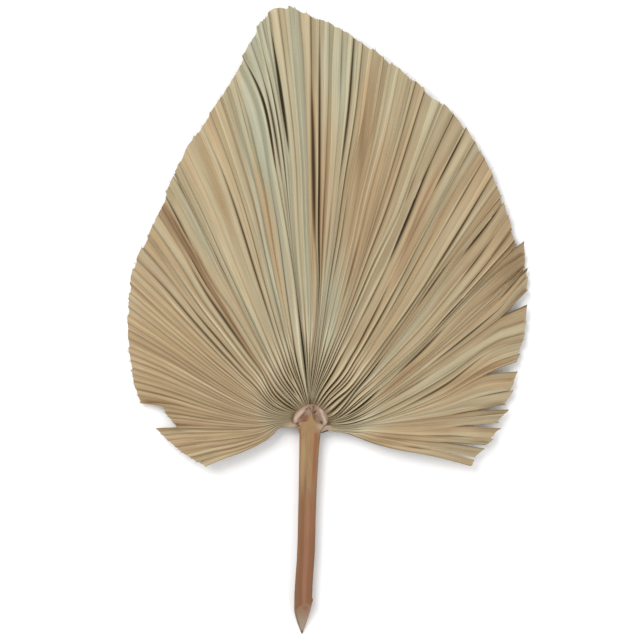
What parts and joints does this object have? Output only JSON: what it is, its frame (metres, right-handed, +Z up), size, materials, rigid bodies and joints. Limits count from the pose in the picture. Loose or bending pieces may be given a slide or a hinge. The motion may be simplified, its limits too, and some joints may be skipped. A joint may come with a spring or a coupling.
{
  "type": "dried fan palm leaf",
  "caption": "Dried palm leaf lying flat: a pleated, heart-shaped fan blade on a stem whittled to a point, with a small two-lobed hastula at the hub.",
  "frame": {"origin": "under the middle of the hub, where the stem meets the blade, on the surface that the leaf lies on", "axes": "+Y from the hub towards the leaf's tip, +Z up out of the leaf's upper face, +X to the right seen from above"},
  "size_m": [0.2899, 0.4505, 0.0181],
  "materials": {
    "blade": "matte",
    "petiole": "matte"
  },
  "bodies": {
    "root": {"blade": "blade", "petiole": "petiole"}
  },
  "joints": []
}
